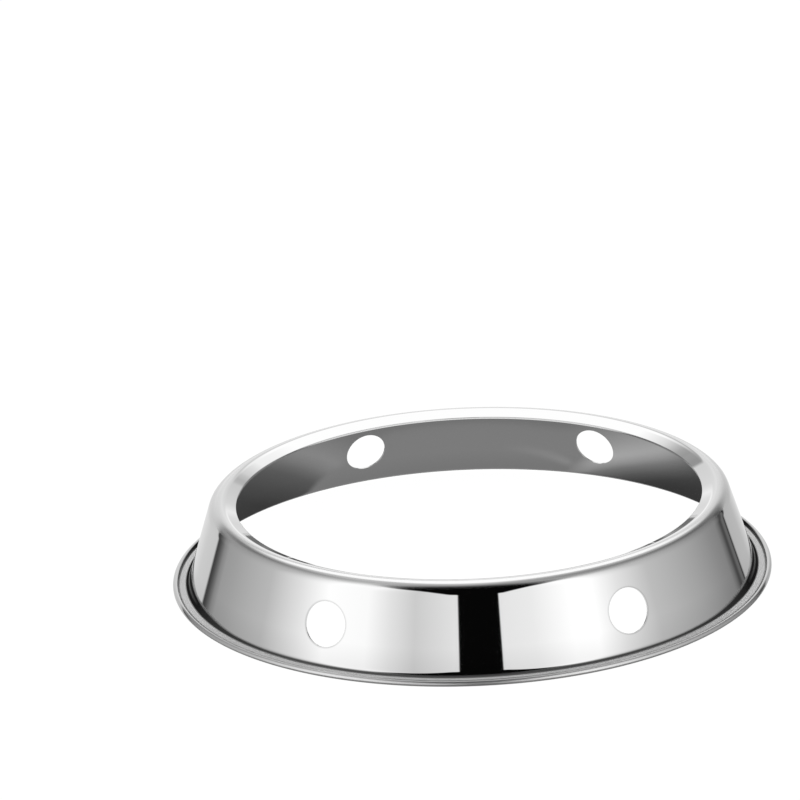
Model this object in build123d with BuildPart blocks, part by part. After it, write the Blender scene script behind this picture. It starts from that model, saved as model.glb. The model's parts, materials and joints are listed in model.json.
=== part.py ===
from build123d import *
import os
from math import acos, asin, cos, degrees, radians, sin, sqrt, tan

# Wok ring: the stand that holds a round-bottomed wok steady over a burner.
# It is one piece of stainless steel sheet, pressed into a cone. The sheet turns in at the top to a
# lip that the wok sits on, turns out at the foot to a narrow flange, and ends in a rim that is
# curled under, so that no cut edge can be touched. Four round vents through the wall let air in.
# All sizes are millimetres and degrees. The origin is the middle of the base, +Z is the ring's
# axis, pointing up, and -Y is the front.

# The sheet
THICKNESS = 0.7

# The opening that the wok sits in. Every other diameter follows from it.
OPENING_DIAMETER = 192.0
PIERCING_WASTE = 2.0  # of lip that is cut away when the opening is pierced

# The lip that falls to the opening, and the rounded shoulder outside it
RING_HEIGHT = 35.6
LIP_WIDTH = 10.35  # from the opening out to where the wall would reach the ring's height
LIP_FALL = 24.0  # below level
SHOULDER_RADIUS = 5.5

# The wall, which leans in towards the top
WALL_LEAN = 18.0  # from upright
FOOT_RADIUS = 2.5  # of the inside corner between wall and flange

# The flange, and the groove where it turns up into the curl
FLANGE_WIDTH = 6.6  # from the foot of the wall to the outside of the curl
FLANGE_HEIGHT = 1.6  # of its top face
GROOVE_RADIUS = 0.3

# The curled rim, which the ring stands on
CURL_DIAMETER = 2.4
CURL_GAP = 0.3  # between the rolled-up cut edge and the flange above it

# The vents, by their bearing round the ring from its front. Nothing is punched at either side.
VENT_DIAMETER = 18.0
VENT_HEIGHT = 17.2  # of its centre on the wall's outer face
VENT_BEARINGS = (-31.0, 32.5, 149.8, 203.5)


def wall_radius(height):
    """Radius of the wall's outer face at a height above the base."""
    return OPENING_DIAMETER / 2 + LIP_WIDTH + (RING_HEIGHT - height) * tan(radians(WALL_LEAN))


def vent_seat(bearing):
    """The plane that touches the wall's outer face at a vent's centre."""
    outward = Vector(sin(radians(bearing)), -cos(radians(bearing)), 0)
    centre = outward * wall_radius(VENT_HEIGHT) + Vector(0, 0, VENT_HEIGHT)
    square_to_wall = outward * cos(radians(WALL_LEAN)) + Vector(0, 0, sin(radians(WALL_LEAN)))
    return Plane(origin=centre, x_dir=outward.cross(Vector(0, 0, 1)), z_dir=square_to_wall)


# Centres of the four arcs of the sheet's upper face, as radius and height
to_round_off_wall = 1 / cos(radians(WALL_LEAN))

shoulder_height = RING_HEIGHT - SHOULDER_RADIUS
shoulder_centre = (
    wall_radius(shoulder_height) - SHOULDER_RADIUS * to_round_off_wall,
    shoulder_height,
)

foot_height = FLANGE_HEIGHT + FOOT_RADIUS
foot_centre = (wall_radius(foot_height) + FOOT_RADIUS * to_round_off_wall, foot_height)

curl_radius = CURL_DIAMETER / 2
base_radius = wall_radius(FLANGE_HEIGHT) + FLANGE_WIDTH
curl_centre = (base_radius - curl_radius, curl_radius)

# The groove's arc touches the flange below it and the curl beside it, so its centre follows from
# theirs, and so does the turn that the sheet makes in it.
groove_height = FLANGE_HEIGHT + GROOVE_RADIUS
between_centres = GROOVE_RADIUS + curl_radius
groove_turn = degrees(acos((groove_height - curl_radius) / between_centres))
groove_centre = (curl_centre[0] - between_centres * sin(radians(groove_turn)), groove_height)

# The curl rolls round until its cut edge is CURL_GAP below the underside of the flange.
cut_edge_height = FLANGE_HEIGHT - THICKNESS - CURL_GAP
cut_edge_turn = degrees(asin((curl_radius - cut_edge_height) / curl_radius))
curl_sweep = 270 + groove_turn - cut_edge_turn

lip_end_radius = OPENING_DIAMETER / 2 - PIERCING_WASTE


def draw_sheet_face(depth):
    """Draw the sheet's face at a depth below its upper one, and give its two ends.

    The shoulder and the curl bulge, so their radii shrink with the depth. The foot and the groove
    are hollow, so theirs grow.
    """
    shoulder = CenterArc(
        shoulder_centre, SHOULDER_RADIUS - depth, WALL_LEAN, 90 + LIP_FALL - WALL_LEAN
    )
    lip_length = ((shoulder @ 1).X - lip_end_radius) / cos(radians(LIP_FALL))
    lip = PolarLine(shoulder @ 1, lip_length, 180 + LIP_FALL)
    foot = CenterArc(foot_centre, FOOT_RADIUS + depth, 180 + WALL_LEAN, 90 - WALL_LEAN)
    Line(shoulder @ 0, foot @ 0)
    groove = CenterArc(groove_centre, GROOVE_RADIUS + depth, 270, groove_turn)
    Line(foot @ 1, groove @ 0)
    curl = CenterArc(curl_centre, curl_radius - depth, 90 + groove_turn, -curl_sweep)
    return lip @ 1, curl @ 1


with BuildPart() as wok_ring:
    # The section, between the sheet's upper face and its under face
    with BuildSketch(Plane.XZ):
        with BuildLine():
            upper_lip_end, upper_cut_edge = draw_sheet_face(0)
            under_lip_end, under_cut_edge = draw_sheet_face(THICKNESS)
            Line(upper_lip_end, under_lip_end)
            Line(upper_cut_edge, under_cut_edge)
        make_face()
    revolve(axis=Axis.Z)

    # The opening is pierced from above, which leaves an upright cut edge round it.
    Hole(radius=OPENING_DIAMETER / 2)

    # Each vent is punched square to the wall. The punch goes in by more than the wall's own
    # thickness and the depth by which the wall curves away under it.
    curves_away = wall_radius(VENT_HEIGHT) - sqrt(
        wall_radius(VENT_HEIGHT) ** 2 - (VENT_DIAMETER / 2) ** 2
    )
    with Locations(*[vent_seat(bearing) for bearing in VENT_BEARINGS]):
        Hole(radius=VENT_DIAMETER / 2, depth=2 * (THICKNESS + curves_away))

wok_ring.part.label = "wok_ring"
os.makedirs("parts", exist_ok=True)
export_step(wok_ring.part, "parts/wok_ring.step")

box = wok_ring.part.bounding_box()
print("width", round(box.size.X, 2), "depth", round(box.size.Y, 2), "height", round(box.size.Z, 2))
print("sheet volume", round(wok_ring.part.volume), "cubic mm")
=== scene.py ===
# %% [markdown]
# # A pressed steel wok ring
#
# A wok ring is the stand that holds a round-bottomed wok steady over a burner. It is pressed from
# one sheet of stainless steel: a wall that leans in, a rounded shoulder, a lip that falls to the
# opening, a narrow flange at the foot and a rim that is curled under. Four round vents let air in.
#
# Steel this bright has hardly any colour of its own, so most of the work in this file is the shape
# of the sheet, which has to be smooth enough to mirror, and the studio that it mirrors.
#
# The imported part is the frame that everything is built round, so it is loaded first.

import json
from math import acos, asin, cos, degrees, hypot, pi, radians, sin, tan

import bpy
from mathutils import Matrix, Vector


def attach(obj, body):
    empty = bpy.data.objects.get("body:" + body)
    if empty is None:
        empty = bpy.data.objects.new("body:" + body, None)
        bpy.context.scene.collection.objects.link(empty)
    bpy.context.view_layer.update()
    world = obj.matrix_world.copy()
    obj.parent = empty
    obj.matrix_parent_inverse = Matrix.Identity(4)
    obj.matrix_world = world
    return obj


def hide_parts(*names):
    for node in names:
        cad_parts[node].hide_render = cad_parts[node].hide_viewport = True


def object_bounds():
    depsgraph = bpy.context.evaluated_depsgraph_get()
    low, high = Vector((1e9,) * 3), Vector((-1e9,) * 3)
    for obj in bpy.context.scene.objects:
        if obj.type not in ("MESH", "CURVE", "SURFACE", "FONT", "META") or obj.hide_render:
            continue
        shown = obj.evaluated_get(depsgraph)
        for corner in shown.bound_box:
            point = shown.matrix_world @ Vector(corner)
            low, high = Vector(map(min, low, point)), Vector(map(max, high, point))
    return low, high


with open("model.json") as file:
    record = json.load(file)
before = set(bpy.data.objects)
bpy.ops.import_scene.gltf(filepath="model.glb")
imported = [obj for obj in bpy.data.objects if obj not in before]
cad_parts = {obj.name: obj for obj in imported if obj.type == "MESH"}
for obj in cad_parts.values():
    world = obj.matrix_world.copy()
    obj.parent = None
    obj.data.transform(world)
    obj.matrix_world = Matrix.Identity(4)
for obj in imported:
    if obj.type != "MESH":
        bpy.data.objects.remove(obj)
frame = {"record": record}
lowest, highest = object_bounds()
print("the part reaches from", [round(v, 4) for v in lowest], "to", [round(v, 4) for v in highest])

# %% [markdown]
# ## The sizes
#
# The outside of the ring and its opening are read from the part. What lies between them, such as
# the roll of the shoulder and the turn of the curl, is given here by name. Blender works in metres,
# so one millimetre gets a name of its own and the sizes can be written as a maker says them.

# %% Read the outside sizes from the part
MM = 0.001

base_radius = min(highest.x, highest.y, -lowest.x, -lowest.y)
ring_height = highest.z
wok_seat = next(m for m in frame["record"]["mounts"] if m["name"] == "wok_seat")
opening_radius = wok_seat["dims"]["r_mm"] * MM
print("base radius", round(base_radius / MM, 2), "mm, opening radius", round(opening_radius / MM, 2))

# %% Name the sizes of the sheet's section
THICKNESS = 0.7 * MM

LIP_WIDTH = 10.35 * MM  # from the opening out to where the wall would reach the ring's height
LIP_FALL = radians(24)  # below level
SHOULDER_RADIUS = 5.5 * MM

WALL_LEAN = radians(18)  # from upright
FOOT_RADIUS = 2.5 * MM

FLANGE_HEIGHT = 1.6 * MM
GROOVE_RADIUS = 0.3 * MM

CURL_RADIUS = 1.2 * MM
CURL_GAP = 0.3 * MM  # between the rolled-up cut edge and the flange above it
print("the sheet is", round(THICKNESS / MM, 2), "mm thick")

# %% Work out where each bend of the sheet is centred
def wall_radius(height):
    """Radius of the wall's outer face at a height above the base."""
    return opening_radius + LIP_WIDTH + (ring_height - height) * tan(WALL_LEAN)


shoulder_height = ring_height - SHOULDER_RADIUS
shoulder_centre = wall_radius(shoulder_height) - SHOULDER_RADIUS / cos(WALL_LEAN)

foot_height = FLANGE_HEIGHT + FOOT_RADIUS
foot_centre = wall_radius(foot_height) + FOOT_RADIUS / cos(WALL_LEAN)

curl_centre = base_radius - CURL_RADIUS
groove_height = FLANGE_HEIGHT + GROOVE_RADIUS
groove_turn = acos((groove_height - CURL_RADIUS) / (GROOVE_RADIUS + CURL_RADIUS))
groove_centre = curl_centre - (GROOVE_RADIUS + CURL_RADIUS) * sin(groove_turn)

cut_edge_height = FLANGE_HEIGHT - THICKNESS - CURL_GAP
curl_turn = 1.5 * pi + groove_turn - asin((CURL_RADIUS - cut_edge_height) / CURL_RADIUS)
print("the sheet turns", round(degrees(curl_turn)), "degrees in the curl")

# %% [markdown]
# ## Drawing the section
#
# The sheet is drawn the way a press tool is drawn: as the line of its upper face, seen from the
# side. A plane merged to its middle leaves a single vertex, which is then led along the section.
# Extrude draws the straight runs and Spin draws the bends, so every bend is a true arc.
#
# A smooth surface shades by the average of the faces that meet at each vertex. Where a long flat
# run meets a bend, that average would tilt the whole run and warp what it mirrors, so each run gets
# a short length at both ends, which keeps the tilt to itself.
#
# Each bend has as many steps as it needs to look round, and no more, because the finished ring has
# to stay under 200,000 triangles.

# %% Start with one vertex at the edge of the opening
shoulder_end = (
    shoulder_centre - SHOULDER_RADIUS * sin(LIP_FALL),
    shoulder_height + SHOULDER_RADIUS * cos(LIP_FALL),
)
lip_length = (shoulder_end[0] - opening_radius) / cos(LIP_FALL)
opening_height = shoulder_end[1] - lip_length * sin(LIP_FALL)

bpy.ops.object.select_all(action="DESELECT")
bpy.ops.mesh.primitive_plane_add(size=MM)
ring = bpy.context.active_object
ring.name = ring.data.name = "pressed_ring"
bpy.ops.object.mode_set(mode="EDIT")
bpy.ops.mesh.merge(type="CENTER")
bpy.ops.transform.translate(value=(opening_radius, 0, opening_height))
print("the opening's edge is", round(opening_height / MM, 2), "mm up")

# %% Give extrude and spin the names of a press tool's moves
HOLDING_LENGTH = 0.25 * MM  # the short length at each end of a run


def run(length, direction):
    """Lead the sheet straight, at an angle above +X, with a holding length at each end."""
    for part in (HOLDING_LENGTH, length - 2 * HOLDING_LENGTH, HOLDING_LENGTH):
        move = (part * cos(direction), 0, part * sin(direction))
        bpy.ops.mesh.extrude_region_move(TRANSFORM_OT_translate={"value": move})


def bend(centre_radius, centre_height, turn, steps):
    """Lead the sheet round a centre. Seen from the front, a positive turn runs clockwise."""
    bpy.ops.mesh.spin(
        steps=steps, angle=turn, center=(centre_radius, 0, centre_height), axis=(0, -1, 0)
    )


print("ready to lead the sheet")

# %% Lead the sheet over the shoulder and down the wall
SHOULDER_STEPS = 22

bpy.context.tool_settings.mesh_select_mode = (True, False, False)
run(lip_length, LIP_FALL)
bend(shoulder_centre, shoulder_height, radians(90) + LIP_FALL - WALL_LEAN, SHOULDER_STEPS)

wall_top = shoulder_height + SHOULDER_RADIUS * sin(WALL_LEAN)
wall_foot = foot_height - FOOT_RADIUS * sin(WALL_LEAN)
run((wall_top - wall_foot) / cos(WALL_LEAN), WALL_LEAN - radians(90))
print("the wall is", round((wall_top - wall_foot) / MM, 1), "mm high between its bends")

# %% Lead it out along the flange and round the curl
FOOT_STEPS = 12
GROOVE_STEPS = 4
CURL_STEPS = 24

bend(foot_centre, foot_height, WALL_LEAN - radians(90), FOOT_STEPS)
run(groove_centre - foot_centre, 0)
bend(groove_centre, groove_height, -groove_turn, GROOVE_STEPS)
bend(curl_centre, CURL_RADIUS, curl_turn, CURL_STEPS)
bpy.ops.object.mode_set(mode="OBJECT")

reach = max(v.co.x for v in ring.data.vertices)
print(len(ring.data.vertices), "points in the section, which reaches", round(reach / MM, 2), "mm")

# %% [markdown]
# ## From section to sheet
#
# One spin round the upright axis turns the line into the ring's upper face. It is done in 624 steps,
# because a mirror shows every flat, and because the columns then miss the sides of the vents, where
# the punch would leave slivers. The first and last columns are merged, the faces are turned to look
# outwards, and Solidify then gives the sheet its thickness on the hidden side.

# %% Spin the section round the ring's axis
STEPS_ROUND = 624
ONE_POINT = 0.001 * MM  # points closer than this are merged

bpy.ops.object.mode_set(mode="EDIT")
bpy.ops.mesh.select_all(action="SELECT")
bpy.ops.mesh.spin(steps=STEPS_ROUND, angle=2 * pi, center=(0, 0, 0), axis=(0, 0, 1))
bpy.ops.mesh.select_all(action="SELECT")
bpy.ops.mesh.remove_doubles(threshold=ONE_POINT)
bpy.ops.mesh.normals_make_consistent(inside=False)
bpy.ops.object.mode_set(mode="OBJECT")

highest_face = max(ring.data.polygons, key=lambda face: face.center.z)
if highest_face.normal.z < 0:
    ring.data.flip_normals()
print(len(ring.data.polygons), "faces on the upper side of the sheet")

# %% Give the sheet its thickness
def apply_modifier(piece, kind, **settings):
    """Add a modifier to a piece, set it, and apply it."""
    modifier = piece.modifiers.new(kind.title(), kind)
    for name, value in settings.items():
        setattr(modifier, name, value)
    bpy.context.view_layer.objects.active = piece
    bpy.ops.object.modifier_apply(modifier=modifier.name)


apply_modifier(ring, "SOLIDIFY", thickness=THICKNESS, offset=-1, use_even_offset=True)
print(len(ring.data.polygons), "faces on the whole sheet")

# %% [markdown]
# The opening is pierced from above, so its cut edge stands upright. Solidify leaves the edge square
# to the falling lip instead, with its lower corner further out. That corner is drawn in along the
# lip until it is under the upper one.

# %% Stand the opening's cut edge upright
CLOSE = 0.02 * MM  # a point this near to where the corner should be is on it

draw_in = THICKNESS * sin(LIP_FALL)
lower_corner = opening_radius + draw_in


def is_lower_corner(vertex):
    """Whether a point is on the lower corner of the opening's cut edge."""
    off_corner = abs(hypot(vertex.co.x, vertex.co.y) - lower_corner)
    return off_corner < CLOSE and vertex.co.z < opening_height


def select_points(piece, wanted):
    """Select the points of a piece that are wanted and nothing else, and stay in edit mode."""
    bpy.ops.object.mode_set(mode="EDIT")
    bpy.ops.mesh.select_all(action="DESELECT")
    bpy.ops.object.mode_set(mode="OBJECT")
    for vertex in piece.data.vertices:
        vertex.select = wanted(vertex)
    print(sum(vertex.select for vertex in piece.data.vertices), "points selected")
    bpy.ops.object.mode_set(mode="EDIT")


select_points(ring, is_lower_corner)
shrink = opening_radius / lower_corner
bpy.ops.transform.resize(value=(shrink, shrink, 1), center_override=(0, 0, 0))
bpy.ops.transform.translate(value=(0, 0, -draw_in * tan(LIP_FALL)))
bpy.ops.object.mode_set(mode="OBJECT")
print("the lower corner is drawn in by", round(draw_in / MM, 2), "mm")

# %% [markdown]
# ## Punching the vents
#
# The vents are round holes punched square to the leaning wall, two at the front and two at the
# back. Each punch is a cylinder just long enough to go through the near wall, and a Boolean cuts
# with it. Cutting while the sheet already has its thickness leaves true cut edges in the holes.

# %% Punch four vents
VENT_RADIUS = 9 * MM
VENT_HEIGHT = 17.2 * MM
VENT_BEARINGS = (-31.0, 32.5, 149.8, 203.5)  # degrees round the ring from its front
PUNCH_SIDES = 96
PUNCH_LENGTH = 8 * THICKNESS


def vent_centre(bearing):
    """The middle of the vent at a bearing, on the wall's outer face."""
    out = wall_radius(VENT_HEIGHT)
    return (out * sin(radians(bearing)), -out * cos(radians(bearing)), VENT_HEIGHT)


def add_punch(bearing):
    """A cylinder through the wall at a bearing, square to it."""
    bpy.ops.object.select_all(action="DESELECT")
    bpy.ops.mesh.primitive_cylinder_add(
        vertices=PUNCH_SIDES,
        radius=VENT_RADIUS,
        depth=PUNCH_LENGTH,
        location=vent_centre(bearing),
        rotation=(radians(90) - WALL_LEAN, 0, radians(bearing)),
    )
    return bpy.context.active_object


for vent_bearing in VENT_BEARINGS:
    punch = add_punch(vent_bearing)
    apply_modifier(ring, "BOOLEAN", object=punch, operation="DIFFERENCE", solver="EXACT")
    bpy.data.objects.remove(punch)
print(len(VENT_BEARINGS), "vents punched,", len(ring.data.polygons), "faces")

# %% [markdown]
# ## Breaking the cut edges
#
# No cut edge on a real sheet is perfectly sharp: tumbling takes the burr off, and the tiny rounding
# is what catches the light round the opening and the vents. The sharp edges are found by their
# angle, cleared of the slivers that punching leaves on them, and bevelled by hardly more than a
# hair's width. Then everything is shaded smooth except where faces meet at more than 20 degrees.

# %% Break the sharp edges and shade the sheet smooth
EDGE_BREAK = 0.06 * MM
SHARP = radians(50)
SLIVER = 0.05 * MM
SMOOTH = radians(20)

bpy.ops.object.select_all(action="DESELECT")
ring.select_set(True)
bpy.context.view_layer.objects.active = ring
bpy.ops.object.mode_set(mode="EDIT")
bpy.context.tool_settings.mesh_select_mode = (False, True, False)
bpy.ops.mesh.select_all(action="DESELECT")
bpy.ops.mesh.edges_select_sharp(sharpness=SHARP)
bpy.ops.mesh.remove_doubles(threshold=SLIVER)
bpy.ops.mesh.bevel(offset=EDGE_BREAK, segments=2, affect="EDGES", clamp_overlap=False)
bpy.ops.object.mode_set(mode="OBJECT")
bpy.ops.object.shade_smooth_by_angle(angle=SMOOTH)

triangles = sum(len(face.vertices) - 2 for face in ring.data.polygons)
print("the finished sheet has", triangles, "triangles")

# %% [markdown]
# ## Writing finishes as sums
#
# A finish is a graph of nodes, and a long one is hard to read as a list of nodes and links. Two
# small classes keep it readable. Signal is one output of a node, and Python's own signs between
# signals add the Math nodes. Graph adds any other node in one call.

# %% Wrap a node's output, so that sums can be written with it
class Signal:
    """One output of a node. Signs between signals and numbers add Math nodes."""

    def __init__(self, graph, socket):
        self.graph = graph
        self.socket = socket

    def math(self, operation, *others, clamp=False):
        """Add a Math node that works on this signal and any others."""
        inputs = dict(enumerate((self, *others)))
        settings = {"operation": operation, "use_clamp": clamp}
        return self.graph.node("ShaderNodeMath", settings, inputs)

    def __add__(self, other):
        return self.math("ADD", other)

    def __sub__(self, other):
        return self.math("SUBTRACT", other)

    def __rsub__(self, other):
        return (self * -1).math("ADD", other)

    def __mul__(self, other):
        return self.math("MULTIPLY", other)

    def __truediv__(self, other):
        return self.math("DIVIDE", other)

    def __pow__(self, other):
        return self.math("POWER", other)

    def __abs__(self):
        return self.math("ABSOLUTE")

    __radd__ = __add__
    __rmul__ = __mul__

    def past(self, edge, softness):
        """0 below an edge and 1 above it, with a ramp of a given width between."""
        return ((self - edge) / softness).math("ADD", 0.5, clamp=True)


print("sums can be written")

# %% Add any other node in one call
def set_stops(ramp, stops):
    """Give a colour ramp its stops, as pairs of a place and a grey."""
    while len(ramp.elements) < len(stops):
        ramp.elements.new(0.5)
    for element, (position, grey) in zip(ramp.elements, stops):
        element.position = position
        element.color = (grey, grey, grey, 1)


class Graph:
    """The node tree of a finish."""

    def __init__(self, owner):
        owner.use_nodes = True
        self.tree = owner.node_tree
        self.tree.nodes.clear()

    def node(self, kind, settings=None, inputs=None, output=0):
        """Add a node, set it up, fill or link its sockets, and give one of its outputs."""
        made = self.tree.nodes.new(kind)
        for name, value in (settings or {}).items():
            if name == "stops":
                set_stops(made.color_ramp, value)
            else:
                setattr(made, name, value)
        for name, value in (inputs or {}).items():
            if isinstance(value, Signal):
                self.tree.links.new(value.socket, made.inputs[name])
            else:
                made.inputs[name].default_value = value
        return Signal(self, made.outputs[output]) if len(made.outputs) else None


print("nodes can be added")

# %% [markdown]
# A few brushes are wanted again and again: a number that follows another along a curve through
# given points, a grey given as it looks on the screen, and a mix of two. A colour ramp draws the
# curve, because it holds any number of points in one node.

# %% Add a few brushes
def split(vector):
    """The x, y and z of a vector."""
    parts = vector.graph.node("ShaderNodeSeparateXYZ", inputs={0: vector}).socket.node.outputs
    return [Signal(vector.graph, part) for part in parts]


def mix(first, second, share):
    """The first of two, or the second where the share is 1."""
    return (1 - share) * first + share * second


def curve(signal, *points):
    """A number that runs straight between points, given as pairs of a signal and a number."""
    first = points[0][0]
    span = points[-1][0] - first
    most = max(value for _, value in points)
    stops = [((position - first) / span, value / most) for position, value in points]
    along = {"Fac": (signal - first) / span}
    return signal.graph.node("ShaderNodeValToRGB", {"stops": stops}, along) * most


def linear(grey):
    """The light that shows as a grey from 0 to 255."""
    share = grey / 255
    return share / 12.92 if share <= 0.04045 else ((share + 0.055) / 1.055) ** 2.4


def tones(signal, *points):
    """Light that runs straight between points, given as pairs of a signal and a grey."""
    return curve(signal, *[(position, linear(grey)) for position, grey in points])


print("middle grey is", round(linear(128), 3), "of full light")

# %% [markdown]
# ## The steel
#
# Outside, the sheet is polished to a mirror. Under the lip and inside the wall nobody polishes it,
# so it keeps the soft sheen of the rolled sheet. One material holds both, as they are one sheet, and
# every difference in it follows from where a point lies.
#
# A material can't ask which side of the sheet it is on, so that is worked out first, from how far a
# point is outside the middle of the wall and above the middle of the lip.

# %% Find which side of the sheet a point is on
FADE = 0.1 * MM  # over which one side gives way to the other

steel = bpy.data.materials.new("polished_steel")
steel_graph = Graph(steel)
place = steel_graph.node("ShaderNodeTexCoord", output="Object")
x, y, z = split(place)
radius = (x * x + y * y).math("SQRT")

middle_at_base = wall_radius(0) - THICKNESS / 2 / cos(WALL_LEAN)
outside_wall = radius - middle_at_base + z * tan(WALL_LEAN)
inside = 1 - outside_wall.past(0, FADE)

above_lip = z - opening_height + (opening_radius - radius) * tan(LIP_FALL)
lip_top = above_lip.past(-THICKNESS / 2, FADE)
satin = inside * (1 - lip_top)
print("the wall's middle is", round(middle_at_base / MM, 1), "mm from the axis at the base")

# %% [markdown]
# The corner at the foot of the wall and the groove beside the curl are painted dark as painted shade,
# most of all at the sides and the back, and towards the sides the corner's painted shade reaches up
# the wall as a painted reflection of it. The flat flange between them is left dull. Each of these is
# marked by a number that is 1 on it and 0 off it.

# %% Mark the flange, the curl and the painted shade in the groove between them
FLANGE_START = 0.75  # as a share of the foot's radius past where its bend starts
SOFT = 0.3 * MM

corner_start = foot_centre - FOOT_RADIUS * cos(WALL_LEAN)
past_foot = (radius - corner_start) / FOOT_RADIUS
low = 1 - z.past(foot_height + 0.3 * MM, 0.8 * MM)  # keeps what follows off the lip and shoulder

rim = past_foot.past(FLANGE_START, 0.3) * low
curl = radius.past(groove_centre + 0.25 * MM, SOFT) * low
flange = rim - curl

# painted shade in the groove, wider and darker towards the back
back = y.past(8 * MM, 56 * MM)
groove_shade_width = 0.25 * MM + back * 0.5 * MM
off_groove = abs(radius - groove_centre - 0.1 * MM)
groove_shade = (1 - off_groove.past(groove_shade_width, SOFT)) * low
print("the flange starts", round((corner_start + FLANGE_START * FOOT_RADIUS) / MM, 1), "mm out")

# %% Mark the corner's painted shade, which reaches up the wall towards the sides as a painted reflection, and the painted highlight in it
CORNER_FROM = 0.24  # as shares of the foot's radius past where its bend starts
CORNER_TO = 0.72
GLINT_AT = 0.12
CORNER_TOP = 7 * MM

sides = y.past(-65 * MM, 60 * MM)
reach_up = curve(y / MM, (-84, 0), (-68, 0.08), (-50, 0.3), (-10, 0.62))
# painted shade in the corner at the foot, reaching further up the wall towards the sides as a painted
# reflection
corner = past_foot.past(CORNER_FROM - reach_up, 0.2) * (1 - past_foot.past(CORNER_TO, 0.25))
corner = corner * (1 - inside) * (1 - z.past(CORNER_TOP, 1 * MM))
# a painted highlight along the corner, towards the back
glint = (1 - abs(past_foot - GLINT_AT).past(0.1, 0.1)) * y.past(-15 * MM, 40 * MM)
print("the bend at the foot starts", round(corner_start / MM, 1), "mm out")

# %% [markdown]
# A narrow ring of painted shade darkens the wall's face round each vent's cut edge. A point is in one
# of the four rings when its distance from the nearest vent's centre is little more than the vent's
# radius.

# %% Mark the ring of painted shade round each vent
VENT_EDGE_SHADE_WIDTH = 0.5 * MM

off_vent = 100 * MM  # further than any ring reaches
for vent_bearing in VENT_BEARINGS:
    off_this_vent = steel_graph.node(
        "ShaderNodeVectorMath",
        {"operation": "DISTANCE"},
        {0: place, 1: vent_centre(vent_bearing)},
        output=1,
    )
    off_vent = off_this_vent.math("MINIMUM", off_vent)
# painted shade along each vent's edge
vent_edge_shade = (1 - off_vent.past(VENT_RADIUS + VENT_EDGE_SHADE_WIDTH, 0.4 * MM)) * (1 - inside)
print(len(VENT_BEARINGS), "burnished rings are marked")

# %% [markdown]
# Polishing wheels leave hair lines that run round the ring. They are a noise that is stretched round
# the ring and squeezed along its section, which is height on the wall and radius on the lip and the
# flange, and they stir the roughness a little. The curl is polished bright only at the sides and the
# back, where the wheel can bear on it.

# %% Set how rough each place is
MIRROR_ROUGHNESS = 0.03
SATIN_ROUGHNESS = 0.16
DULL_ROUGHNESS = 0.32

HAIRS_ROUND = 30
HAIRS_UP = 5000
HAIR_STIR = 0.02
CURL_POLISH = 0.8

hair_place = steel_graph.node(
    "ShaderNodeCombineXYZ",
    inputs={0: x * HAIRS_ROUND, 1: y * HAIRS_ROUND, 2: (z + radius * 0.7) * HAIRS_UP},
)
hair = steel_graph.node(
    "ShaderNodeTexNoise", inputs={"Vector": hair_place, "Scale": 1.0, "Detail": 2.0}
)

polished_curl = curl * y.past(-50 * MM, 24 * MM) * CURL_POLISH
dull = (rim - polished_curl).math("MAXIMUM", corner)
roughness = mix(mix(MIRROR_ROUGHNESS, SATIN_ROUGHNESS, satin), DULL_ROUGHNESS, dull)
roughness = roughness + (hair - 0.5) * HAIR_STIR
print("roughness runs from", MIRROR_ROUGHNESS, "to", DULL_ROUGHNESS)

# %% Set how much light each place gives back
WALL_GREY = 0.8
WALL_FOOT_GREY = 0.72
FLANGE_GREY = 1.0
CURL_GREY = 0.7
GROOVE_SHADE_GREY = 0.5
VENT_EDGE_SHADE_LOSS = 0.2
GLINT_GREY = 0.3
GROOVE_BACK_SHADE_GREY = 0.02
CORNER_SIDE_SHADE_GREY = 0.015
CORNER_FRONT_SHADE_GREY = 0.13

brightness = mix(WALL_FOOT_GREY, WALL_GREY, z.past(8 * MM, 8 * MM))
# painted shade round the vents
brightness = brightness * (1 - vent_edge_shade * VENT_EDGE_SHADE_LOSS)
brightness = mix(brightness, mix(FLANGE_GREY, CURL_GREY, curl), rim)
# the groove's painted shade
brightness = mix(brightness, mix(GROOVE_SHADE_GREY, GROOVE_BACK_SHADE_GREY, back), groove_shade)
# painted shade in the corner, darkest at the sides, with a painted highlight along it
corner_shade_and_glint_grey = mix(CORNER_FRONT_SHADE_GREY, CORNER_SIDE_SHADE_GREY, sides) + glint * GLINT_GREY
brightness = mix(brightness, corner_shade_and_glint_grey, corner)
print("the wall gives back", WALL_GREY, "of the light")

# %% Set how metallic each place looks, as a dull flange scatters light, and the painted shade in the corner and groove is made dull so that it shows dark
FLANGE_SCATTER = 0.8
PAINTED_SHADE_METAL = 0.05

metal = 1 - flange * FLANGE_SCATTER
# the painted shade in the groove and at the corner's sides is hardly metallic, so its dark grey shows
metal = mix(metal, PAINTED_SHADE_METAL, groove_shade * back)
metal = mix(metal, PAINTED_SHADE_METAL, corner * sides)
print("painted_shade is", PAINTED_SHADE_METAL, "metallic")

# %% [markdown]
# Pressed sheet is never perfectly even. A slow noise tilts the surface by a few thousandths of a
# millimetre, which is enough to make the edges of what it mirrors waver a little. Then all the
# parts meet in one shader.

# %% Mix the polished steel
WAVE_HEIGHT = 0.008 * MM
WAVES_ROUND = 60
WAVES_UP = 40

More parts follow.
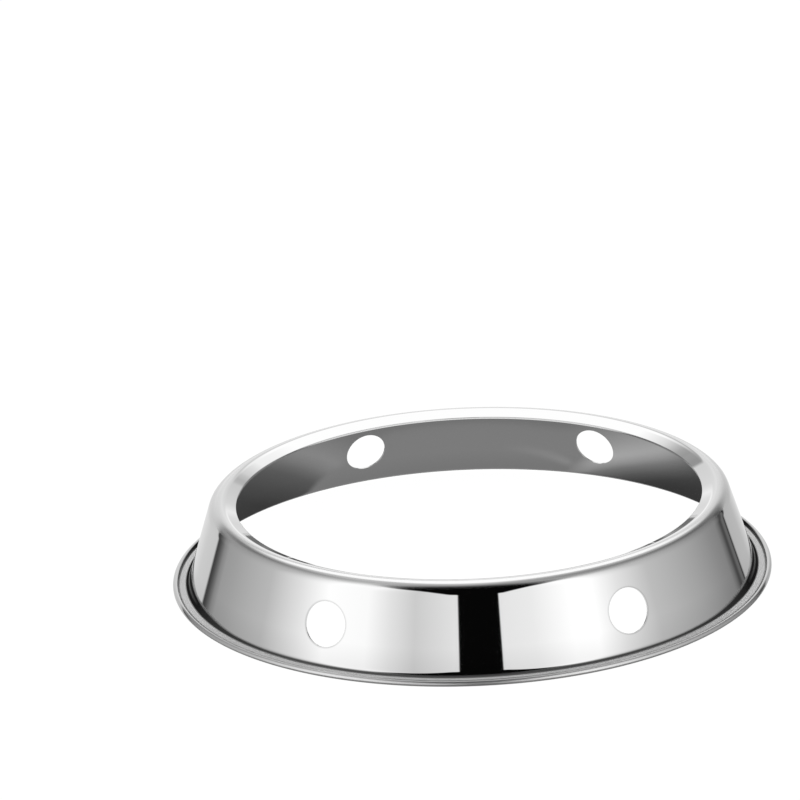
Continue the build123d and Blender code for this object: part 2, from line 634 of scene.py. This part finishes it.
wave_place = steel_graph.node(
    "ShaderNodeCombineXYZ", inputs={0: x * WAVES_ROUND, 1: y * WAVES_ROUND, 2: z * WAVES_UP}
)
wave = steel_graph.node(
    "ShaderNodeTexNoise", inputs={"Vector": wave_place, "Scale": 1.0, "Detail": 1.0}
)
tilted = steel_graph.node(
    "ShaderNodeBump", inputs={"Strength": 1.0, "Distance": WAVE_HEIGHT, "Height": wave}
)
steel_grey = steel_graph.node(
    "ShaderNodeCombineColor", inputs={0: brightness, 1: brightness, 2: brightness}
)
steel_shader = steel_graph.node(
    "ShaderNodeBsdfPrincipled",
    inputs={
        "Base Color": steel_grey,
        "Metallic": metal,
        "Roughness": roughness,
        "Specular IOR Level": 0.0,
        "Normal": tilted,
    },
)
steel_graph.node("ShaderNodeOutputMaterial", inputs={"Surface": steel_shader})

ring.data.materials.clear()
ring.data.materials.append(steel)
print("the steel is mixed from", len(steel_graph.tree.nodes), "nodes")

# %% [markdown]
# ## The camera
#
# The photograph was taken with a long lens from about a metre and a half, well above the table. The
# ring stands below and to the right of the middle of the picture, so the camera is turned off it.

# %% Set up the camera
CAMERA_PLACE = (0, -1.4037, 0.5509)
CAMERA_TURN = (radians(71.264), radians(2.571), radians(0.206))
LENS = 163.2  # millimetres, on a sensor 36 mm wide

bpy.ops.object.camera_add(location=CAMERA_PLACE, rotation=CAMERA_TURN)
camera = bpy.context.active_object
camera.data.sensor_width = 36
camera.data.lens = LENS
camera.data.clip_start = 0.1
bpy.context.scene.camera = camera
bpy.context.scene.view_settings.view_transform = "Standard"
print("the camera is", round(camera.location.length, 2), "m from the ring's middle")

# %% [markdown]
# ## The studio
#
# A mirror is lit by what stands round it, so the studio is a tent of light, painted on the world by
# bearing and height, both in degrees. Two tall panels of cloth stand at the front, left and right,
# brightest at about 50 degrees, with a dark gap between them for the camera and a dark hole above.
# Towards the back, hoops gather the cloth down. Behind the ring stands a low panel in a dark frame,
# which the lip and the two ends of the wall mirror, and above it a bright window.
#
# Painting them on the world, instead of building them, leaves each edge free to be as sharp or as
# soft as the mirrored edge looks. Left and right are painted apart and joined by a share of right.
# In the lists below each pair is a bearing, or a height, and the grey or the number that holds there.

# %% Find each direction's bearing and height in the tent
TO_DEGREES = 180 / pi

world = bpy.data.worlds.new("light_tent")
bpy.context.scene.world = world
tent = Graph(world)
across, deep, up = split(tent.node("ShaderNodeTexCoord", output="Generated"))
bearing = across.math("ARCTAN2", deep * -1) * TO_DEGREES
off_front = abs(bearing)
behind_ring = 180 - off_front
rise = up.math("ARCSINE") * TO_DEGREES
on_right = bearing.past(0, 1)
print("the tent is laid out")

# %% Hang the cloth at the two sides
left_cloth = tones(
    off_front, (8, 224), (24, 203), (34, 225), (44, 250), (62, 255), (76, 222), (92, 183),
    (116, 158), (130, 146),
)
right_cloth = tones(
    off_front, (8, 226), (24, 234), (40, 256), (50, 258), (62, 226), (78, 188), (104, 160),
    (120, 137), (140, 110),
)
cloth = mix(left_cloth, right_cloth, on_right)
print("the side cloth is hung")

# %% Find the hoops that gather the cloth, and the width of the fold at them
left_hoop = curve(
    off_front, (60, 66), (100, 56), (120, 47.5), (132, 40), (140, 35), (150, 31), (180, 24)
)
right_hoop = curve(
    off_front, (60, 68), (100, 56), (120, 46), (130, 38), (140, 31), (150, 28), (180, 24)
)
over_hoop = rise - mix(left_hoop, right_hoop, on_right)
fold = curve(off_front, (60, 26), (100, 15), (120, 12), (135, 12), (150, 8), (165, 4))
print("the hoops are found")

# %% Paint the fold at the hoops and the cloth above them
left_fold = tones(
    off_front, (50, 215), (65, 210), (80, 190), (105, 156), (125, 132), (140, 105), (152, 110),
    (168, 182), (180, 184),
)
right_fold = tones(
    off_front, (40, 215), (60, 175), (75, 148), (105, 130), (124, 114), (136, 94), (150, 113),
    (157, 165), (162, 210), (180, 194),
)
cloth = mix(cloth, mix(left_fold, right_fold, on_right), over_hoop.past(fold * -0.5, fold))

left_top = tones(off_front, (0, 150), (60, 140), (80, 155), (110, 185), (142, 185), (180, 200))
right_top = tones(
    off_front, (0, 150), (50, 128), (100, 135), (120, 144), (150, 190), (158, 238), (180, 215)
)
cloth = mix(cloth, mix(left_top, right_top, on_right), over_hoop.past(fold * 0.9, fold))
print("the hoops are painted")

# %% Mark out the low panel behind the ring, which has rounded upper corners
PANEL_FOOT = -5
PANEL_HEIGHT = 31.5
LEFT_HALF_WIDTH = 44.5
RIGHT_HALF_WIDTH = 41.7
SQUARENESS = 2.5  # 2 would make the outline an ellipse

half_width = mix(LEFT_HALF_WIDTH, RIGHT_HALF_WIDTH, on_right)
share_across = behind_ring / half_width
share_up = (rise - PANEL_FOOT).math("MAXIMUM", 0) / PANEL_HEIGHT
out_of_panel = (share_across ** SQUARENESS + share_up ** SQUARENESS) ** (1 / SQUARENESS)
print("the panel is", LEFT_HALF_WIDTH + RIGHT_HALF_WIDTH, "degrees wide")

# %% Paint the panel
left_panel = tones(off_front, (138, 196), (150, 197), (160, 207), (170, 220), (180, 232))
right_panel = tones(off_front, (138, 176), (152, 178), (160, 194), (170, 218), (180, 232))
dimmer_above = curve(rise, (5, 1), (20, 0.75))
right_panel = right_panel * mix(dimmer_above, 1, off_front.past(154, 14))
panel = mix(left_panel, right_panel, on_right)

lit_from_below = curve(rise, (5, 0.87), (8, 0.95), (11, 1.18), (15, 0.92), (24, 0.86))
panel = panel * mix(lit_from_below, 1, behind_ring.past(14, 16))
print("the panel is painted")

# %% Paint the frame's upper edge and the dark seams at its sides
left_frame = tones(off_front, (144, 110), (156, 128), (180, 185))
right_frame = tones(off_front, (140, 92), (156, 128), (166, 200), (180, 196))
frame_tone = mix(left_frame, right_frame, on_right)
cloth = mix(cloth, frame_tone, (1 - out_of_panel.past(1.1, 0.1)) * rise.past(22, 6))

left_seam = curve(
    out_of_panel, (1.0, 0.16), (1.04, 0.19), (1.08, 0.31), (1.125, 0.5), (1.17, 0.75), (1.26, 1)
)
right_seam = curve(
    out_of_panel, (1.02, 0.72), (1.07, 0.7), (1.11, 0.34), (1.14, 0.32), (1.2, 0.72), (1.27, 1)
)
seam = mix(left_seam, right_seam, on_right)
cloth = cloth * mix(seam, 1, rise.past(19, 8))
print("the frame is painted")

# %% Stand a strut by the panel's right side, and put the panel in its frame
STRUT_BEARING = 138.2
STRUT_GREY = 44

strut_lean = (rise - 14).math("MAXIMUM", 0) * 0.4
off_strut = abs(off_front - STRUT_BEARING - strut_lean)
strut_width = curve(rise, (6, 0.8), (16, 2.0))
strut = (1 - off_strut.past(strut_width, 1)) * on_right * (1 - rise.past(22, 5))
cloth = mix(cloth, linear(STRUT_GREY), strut)
cloth = mix(panel, cloth, out_of_panel.past(0.985, 0.04))
print("the panel is in its frame")

# %% Leave a bright window above the panel
WINDOW_RISE = 52
WINDOW_HALF_HEIGHT = 20.5
WINDOW_HALF_WIDTH = 30.5
WINDOW_GREY = 254

share_across = behind_ring / WINDOW_HALF_WIDTH
share_up = (rise - WINDOW_RISE) / WINDOW_HALF_HEIGHT
out_of_window = (share_across ** 2 + share_up ** 2) ** 0.5
window = (1 - out_of_window.past(1.03, 0.27)) ** 1.5
cloth = mix(cloth, linear(WINDOW_GREY), window)
print("the window is painted")

# %% Close the tent overhead and below
CROWN_GREY = 157
FLOOR_GREY = 125

top_tone = tones(off_front, (0, 150), (60, 146), (90, 152), (140, 172), (180, 185))
crown = mix(top_tone, linear(CROWN_GREY), rise.past(86, 6))
cloth = mix(cloth, crown, rise.past(74, 10))
cloth = mix(linear(FLOOR_GREY), cloth, rise.past(-26, 8))
print("the tent is closed")

# %% Find the edges of the gap and the hole that the camera looks through
left_edge = curve(
    rise, (14.2, 6.2), (14.8, 9.8), (20, 13), (32, 19.5), (40, 27), (52, 45), (60, 54), (66, 57),
    (76, 50),
)
right_edge = curve(
    rise, (14.2, 10.6), (14.8, 12.8), (20, 15.3), (32, 21.5), (40, 27.5), (50, 39), (58, 50),
    (66, 46), (76, 34),
)
left_blur = curve(
    rise, (14.2, 0.5), (14.8, 3), (36, 4), (42, 14), (56, 18), (62, 34), (68, 50), (80, 70)
)
right_blur = curve(
    rise, (14.2, 0.5), (14.8, 3), (36, 4), (48, 14), (54, 24), (60, 44), (68, 46), (80, 60)
)
print("the gap and the hole are found")

# %% Leave the gap and the hole dark
gap_edge = mix(left_edge, right_edge, on_right)
gap_blur = mix(left_blur, right_blur, on_right)
hole = tones(rise, (64, 6), (70, 22), (76, 58), (82, 106), (88, 143))
cloth = mix(hole, cloth, off_front.past(gap_edge, gap_blur) ** 2)
print("the gap and the hole are dark")

# %% [markdown]
# The tones above are the greys that the steel should show. It gives back 0.8 of the light, so the
# tent is lit by as much more. The camera itself sees plain white beyond the ring, which Light
# Path's Is Camera Ray gives it without any more light on the steel.

# %% Light the tent
GAIN = 1 / WALL_GREY
tent_light = tent.node("ShaderNodeBackground", inputs={"Color": cloth, "Strength": GAIN})
white = tent.node("ShaderNodeBackground", inputs={"Color": (1, 1, 1, 1), "Strength": 1.0})
seen = tent.node("ShaderNodeLightPath", output="Is Camera Ray")
light = tent.node("ShaderNodeMixShader", inputs={0: seen, 1: tent_light, 2: white})
tent.node("ShaderNodeOutputWorld", inputs={"Surface": light})
world.cycles.sampling_method = "NONE"
print("the tent is lit, with a gain of", GAIN)

# %% [markdown]
# ## The table
#
# The ring stands on a plain white table. It glows white by itself, and a tenth of it is matt paint,
# which keeps a breath of the ring's shadow. The steel doesn't mirror it, because the tent already
# has the tones that the steel shows from below.

# %% Lay the table
TABLE_GLOW = 1.08
MATT_SHARE = 0.1

bpy.ops.object.select_all(action="DESELECT")
bpy.ops.mesh.primitive_plane_add(size=20, location=(0, 0, lowest.z))
table = bpy.context.active_object
table.name = "white_table"
table.visible_glossy = False

white_paint = bpy.data.materials.new("white_paint")
paint_graph = Graph(white_paint)
table_glow = paint_graph.node(
    "ShaderNodeEmission", inputs={"Color": (1, 1, 1, 1), "Strength": TABLE_GLOW}
)
matt = paint_graph.node("ShaderNodeBsdfDiffuse", inputs={"Color": (1, 1, 1, 1)})
paint = paint_graph.node("ShaderNodeMixShader", inputs={0: MATT_SHARE, 1: table_glow, 2: matt})
paint_graph.node("ShaderNodeOutputMaterial", inputs={"Surface": paint})
table.data.materials.append(white_paint)
print("the table is laid")

# %% [markdown]
# ## The card inside the ring
#
# The satin wall mirrors what lies inside the ring, and in the studio that isn't the table's plain
# white but a patchwork of shade. A round card holds those tones. It lies on the table inside the
# ring and is seen only by reflections.

# %% Lay a card inside the ring
bpy.ops.mesh.primitive_circle_add(
    vertices=128,
    radius=wall_radius(0) - THICKNESS,
    fill_type="NGON",
    location=(0, 0, lowest.z + 0.1 * MM),
)
card = bpy.context.active_object
card.name = "card_inside_the_ring"
card.visible_camera = False
card.visible_shadow = False
card.visible_diffuse = False
print("the card is", round(2 * (wall_radius(0) - THICKNESS) / MM), "mm across")

# %% Shade the card's left and right, in millimetres from its middle
shaded_card = bpy.data.materials.new("shaded_card")
card_graph = Graph(shaded_card)
card_x, card_y, _ = split(card_graph.node("ShaderNodeTexCoord", output="Object"))
card_x = card_x / MM
card_y = card_y / MM
off_middle = (card_x * card_x + card_y * card_y) ** 0.5
to_wall = (wall_radius(0) / MM - 1) - off_middle

left_tone = tones(
    card_x, (-85, 60), (-73, 74), (-62, 87), (-57, 103), (-52, 122), (-46, 134), (-30, 112),
    (0, 110),
)
right_tone = tones(
    card_x - 50 - to_wall * 1.4, (-60, 110), (-28, 150), (-14, 166), (-5, 142), (0, 116),
    (10, 87), (20, 62), (30, 56),
)
card_tone = mix(left_tone, right_tone, card_x.past(0, 2))
print("the card's sides are shaded")

# %% Shade its back, with a faint streak, and leave its front pale
BACK_GREY = 123
STREAK_GREY = 140
FRONT_GREY = 225
STREAK_Y = 103

off_streak = abs(card_y - STREAK_Y)
streak = (1 - off_streak.past(1.2, 3)) * card_x.past(24, 24) * (1 - card_x.past(42, 6))
back_tone = mix(linear(BACK_GREY), card_tone, card_x.past(46, 8))
back_tone = mix(back_tone, linear(STREAK_GREY), streak)
back_edge = curve(card_x, (-70, 92.5), (-45, 95), (-20, 90), (20, 90))
card_tone = mix(card_tone, back_tone, (card_y - back_edge).past(0, 2))
card_tone = mix(linear(FRONT_GREY), card_tone, card_y.past(48, 14))

card_glow = card_graph.node("ShaderNodeEmission", inputs={"Color": card_tone, "Strength": GAIN})
card_graph.node("ShaderNodeOutputMaterial", inputs={"Surface": card_glow})
card.data.materials.append(shaded_card)
print("the card is laid")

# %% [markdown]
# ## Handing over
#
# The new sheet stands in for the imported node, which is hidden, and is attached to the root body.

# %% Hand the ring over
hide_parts("wok_ring")
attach(ring, "root")
